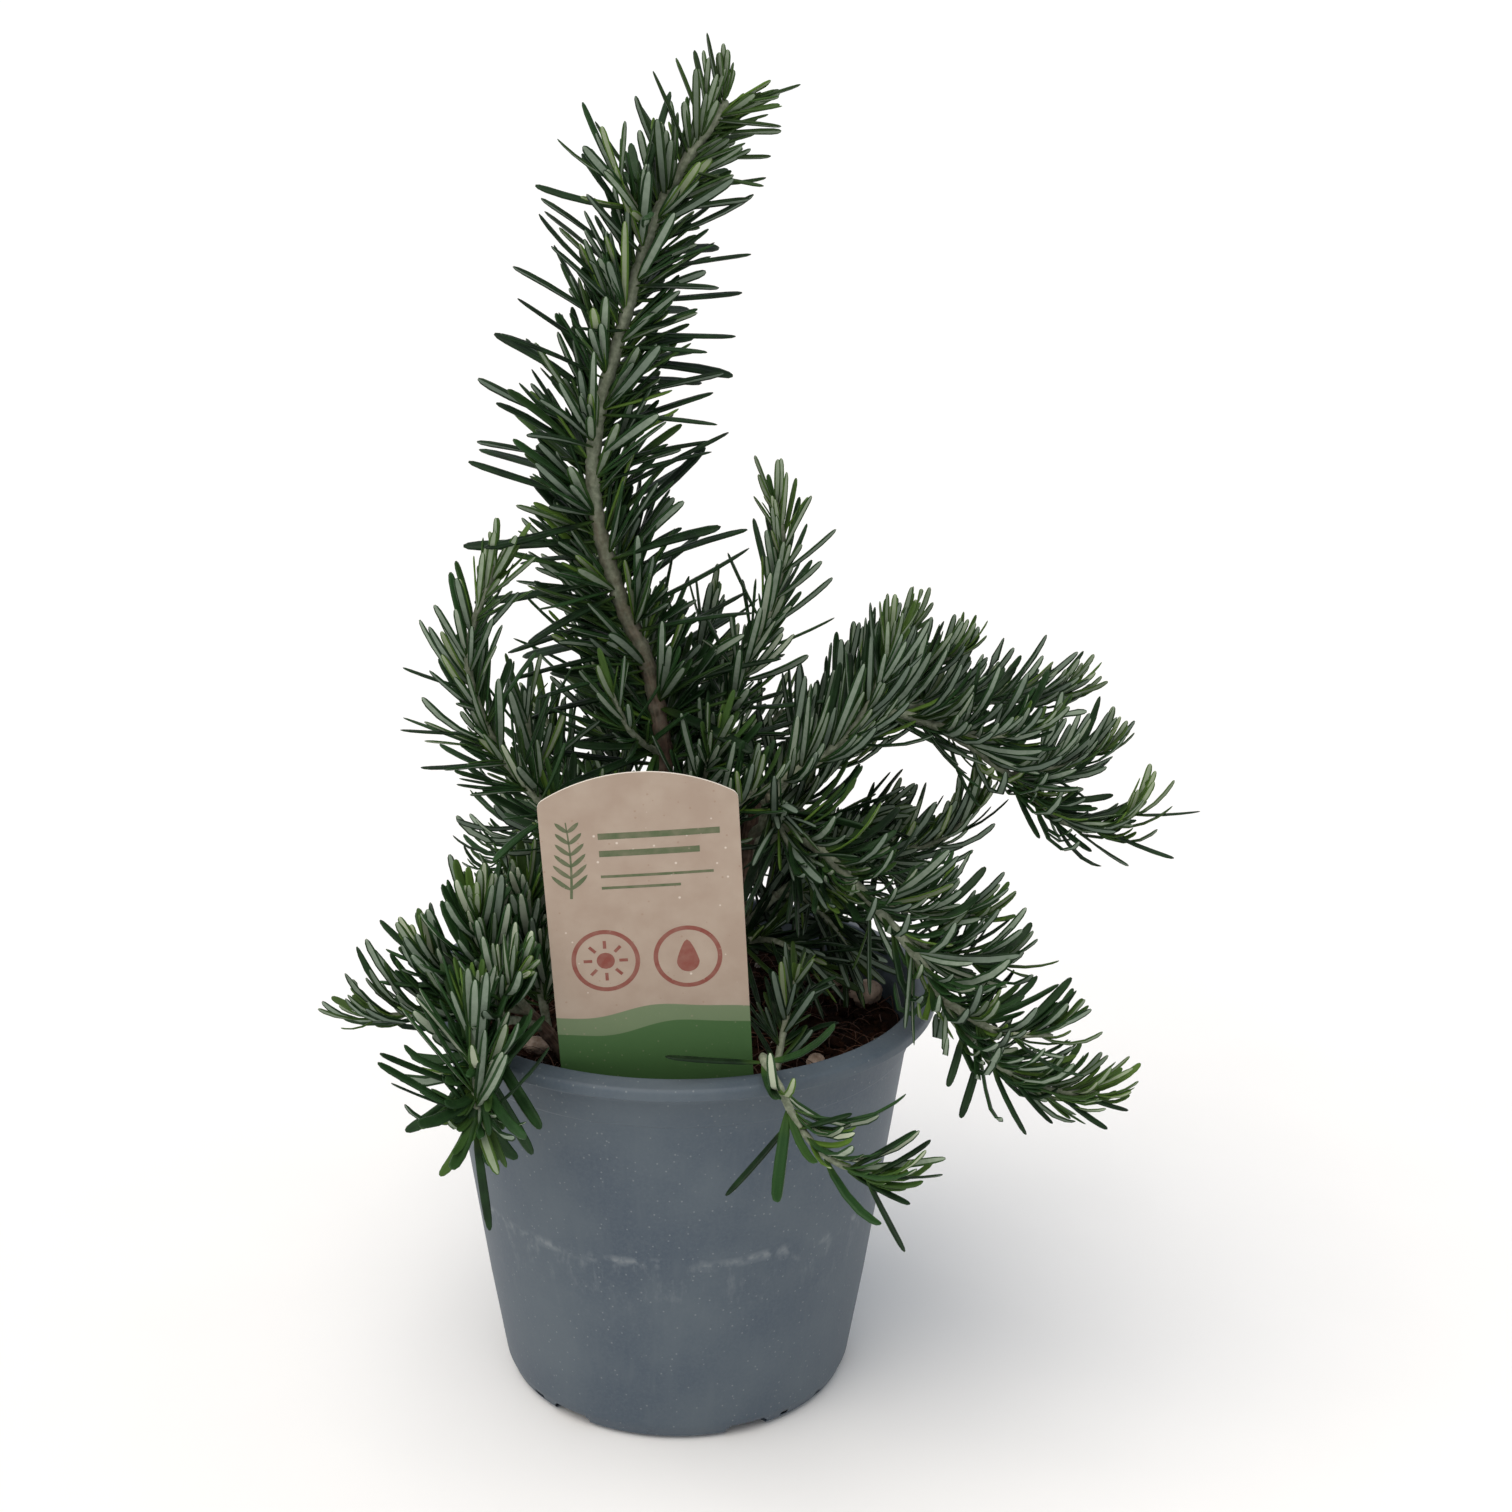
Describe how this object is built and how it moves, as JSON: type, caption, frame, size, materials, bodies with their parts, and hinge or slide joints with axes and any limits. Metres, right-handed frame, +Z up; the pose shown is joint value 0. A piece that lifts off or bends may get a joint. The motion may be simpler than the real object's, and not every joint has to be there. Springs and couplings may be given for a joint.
{
  "type": "potted rosemary plant",
  "caption": "Trailing rosemary with narrow evergreen leaves on woody stems, growing in a tapered round nursery pot with a push-in plant label.",
  "frame": {"origin": "centre of the pot's base, on the plane it stands on", "axes": "+Z up, -Y towards the front where the plant label stands, +X to the right as seen from the front"},
  "size_m": [0.2183, 0.2048, 0.3576],
  "materials": {
    "pot_plastic": "matte",
    "soil": "matte",
    "label_card": "satin",
    "pebble": "matte",
    "bark": "matte",
    "foliage": "satin"
  },
  "bodies": {
    "root": {"pot": "pot_plastic", "potting_soil": "soil", "plant_label": "label_card", "pebble_1": "pebble", "pebble_2": "pebble", "pebble_3": "pebble", "pebble_4": "pebble", "pebble_5": "pebble", "woody_stem_centre": "bark", "woody_stem_right": "bark", "woody_stem_left": "bark", "woody_stem_front": "bark", "woody_stem_back": "bark", "main_leader": "foliage", "left_upright_shoot": "foliage", "left_side_sprig": "foliage", "centre_upright_shoot": "foliage", "centre_low_sprig": "foliage", "right_front_shoot": "foliage", "right_arching_shoot": "foliage", "right_arching_side_sprig": "foliage", "right_low_sprig": "foliage", "right_back_shoot_1": "foliage", "right_back_shoot_2": "foliage", "right_back_shoot_3": "foliage", "right_trailing_shoot": "foliage", "right_trailing_side_sprig": "foliage", "left_front_sprig_1": "foliage", "left_front_sprig_2": "foliage", "left_drooping_sprig": "foliage", "left_outward_sprig": "foliage", "front_rim_sprig": "foliage", "front_tuft": "foliage", "back_upright_shoot": "foliage", "back_left_upright_shoot": "foliage", "back_right_shoot": "foliage", "back_left_trailing_shoot": "foliage", "back_right_trailing_shoot": "foliage", "back_low_sprig": "foliage"}
  },
  "joints": []
}
